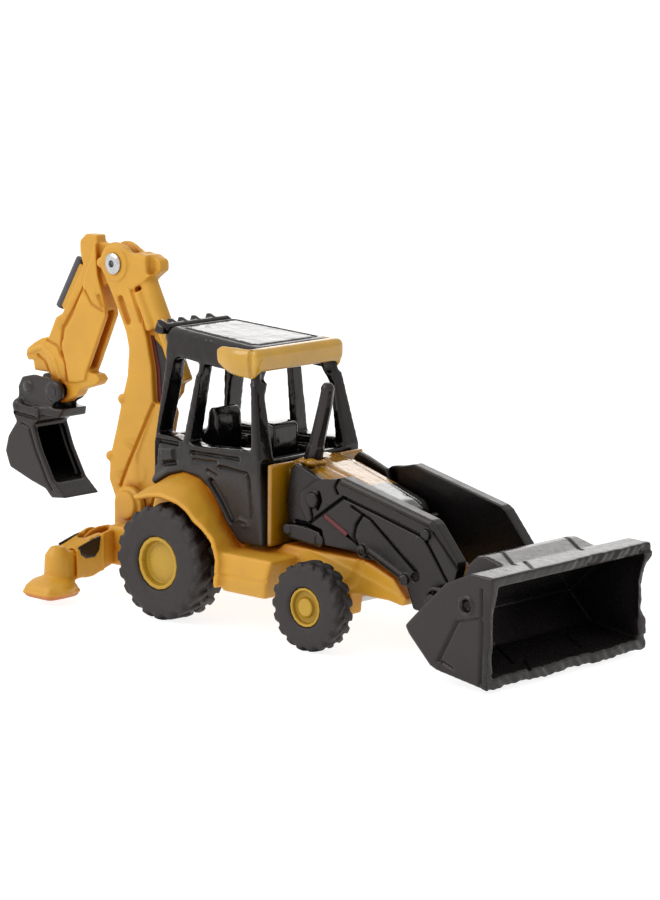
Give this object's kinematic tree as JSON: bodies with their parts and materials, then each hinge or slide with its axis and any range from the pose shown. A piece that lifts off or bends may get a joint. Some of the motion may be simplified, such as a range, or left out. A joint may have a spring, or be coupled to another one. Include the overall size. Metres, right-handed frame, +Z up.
{
  "type": "toy backhoe loader",
  "caption": "Small die-cast and plastic toy backhoe loader: open cab, lifting front loader with wide bucket, swinging rear boom with hooked bucket, fold-down stabilisers and rolling wheels.",
  "frame": {"origin": "on the floor under the middle of the whole toy (bounding-box bottom centre)", "axes": "+X forwards towards the loader bucket, +Y to the left of a driver facing forwards, +Z up from the floor the tyres stand on"},
  "size_m": [0.0984, 0.0392, 0.0473],
  "materials": {
    "yellow_plastic": "matte, slightly translucent moulded plastic",
    "yellow_paint": "gloss enamel on die-cast metal",
    "black_paint": "gloss enamel on die-cast metal",
    "black_plastic": "semi-matte moulded plastic",
    "tyre": "matte dark grey",
    "ram_grey": "satin dark grey",
    "hub_gold": "satin gold-yellow, lightly speckled",
    "steel": "bright plated"
  },
  "bodies": {
    "chassis": {"chassis_base": "yellow_plastic", "base_screw_front": "steel", "base_screw_rear": "steel", "cab_shell": "black_paint", "cab_visor": "yellow_paint", "cab_floor": "black_plastic", "seat": "black_plastic", "steering_console": "black_plastic", "hood": "yellow_paint", "front_grille": "black_paint", "exhaust_stack": "black_plastic", "rear_light_bar": "black_paint", "loader_tower_left": "black_paint", "loader_tower_right": "black_paint", "lift_cylinder_left": "black_paint", "lift_cylinder_right": "black_paint"},
    "rear_axle_body": {"rear_axle": "steel", "rear_hub_left": "hub_gold", "rear_hub_right": "hub_gold", "rear_tyre_left": "tyre", "rear_tyre_right": "tyre"},
    "front_axle_body": {"front_axle": "steel", "front_hub_left": "hub_gold", "front_hub_right": "hub_gold", "front_tyre_left": "tyre", "front_tyre_right": "tyre"},
    "loader_body": {"loader_arm_left": "black_paint", "loader_arm_right": "black_paint", "arm_cross_tube": "black_paint", "loader_pivot_pin_left": "black_plastic", "loader_pivot_pin_right": "black_plastic", "bucket_pin": "black_plastic"},
    "bucket_body": {"loader_bucket": "black_plastic"},
    "swing_body": {"swing_bracket": "yellow_plastic", "swing_pin": "steel", "boom_pin": "yellow_plastic"},
    "boom_body": {"boom": "yellow_plastic", "stick_rivet": "steel"},
    "stick_body": {"stick": "yellow_plastic", "stick_ram": "ram_grey", "hoe_bucket_pin": "black_plastic"},
    "hoe_body": {"hoe_bucket": "black_plastic"},
    "stabiliser_body_right": {"stabiliser_leg_right": "yellow_plastic", "stabiliser_pin_right": "yellow_plastic"},
    "stabiliser_body_left": {"stabiliser_leg_left": "yellow_plastic", "stabiliser_pin_left": "yellow_plastic"}
  },
  "joints": [
    {"name": "rear_axle_spin", "type": "hinge", "parent": "chassis", "child": "rear_axle_body", "pos_m": [-0.0081, 0, 0.00766], "axis": [0, 1, 0], "continuous": true},
    {"name": "front_axle_spin", "type": "hinge", "parent": "chassis", "child": "front_axle_body", "pos_m": [0.0177, 0, 0.00577], "axis": [0, 1, 0], "continuous": true},
    {"name": "loader_lift", "type": "hinge", "parent": "chassis", "child": "loader_body", "pos_m": [0.013, 0, 0.018], "axis": [0, -1, 0], "range_deg": [0, 50]},
    {"name": "bucket_tilt", "type": "hinge", "parent": "loader_body", "child": "bucket_body", "pos_m": [0.0343, 0, 0.0086], "axis": [0, -1, 0], "range_deg": [-60, 25]},
    {"name": "backhoe_swing", "type": "hinge", "parent": "chassis", "child": "swing_body", "pos_m": [-0.0254, 0, 0], "axis": [0, 0, 1], "range_deg": [-75, 75]},
    {"name": "boom_reach", "type": "hinge", "parent": "swing_body", "child": "boom_body", "pos_m": [-0.0255, 0, 0.0114], "axis": [0, -1, 0], "range_deg": [-4, 45]},
    {"name": "stick_crowd", "type": "hinge", "parent": "boom_body", "child": "stick_body", "pos_m": [-0.0292, 0, 0.04385], "axis": [0, 1, 0], "range_deg": [-5, 75]},
    {"name": "hoe_bucket_curl", "type": "hinge", "parent": "stick_body", "child": "hoe_body", "pos_m": [-0.0403, 0, 0.0252], "axis": [0, -1, 0], "range_deg": [-8, 25]},
    {"name": "stabiliser_right_fold", "type": "hinge", "parent": "chassis", "child": "stabiliser_body_right", "pos_m": [-0.026, -0.0076, 0.0064], "axis": [-1, 0, 0], "range_deg": [0, 65]},
    {"name": "stabiliser_left_fold", "type": "hinge", "parent": "chassis", "child": "stabiliser_body_left", "pos_m": [-0.026, 0.0076, 0.0064], "axis": [1, 0, 0], "range_deg": [0, 65]}
  ]
}
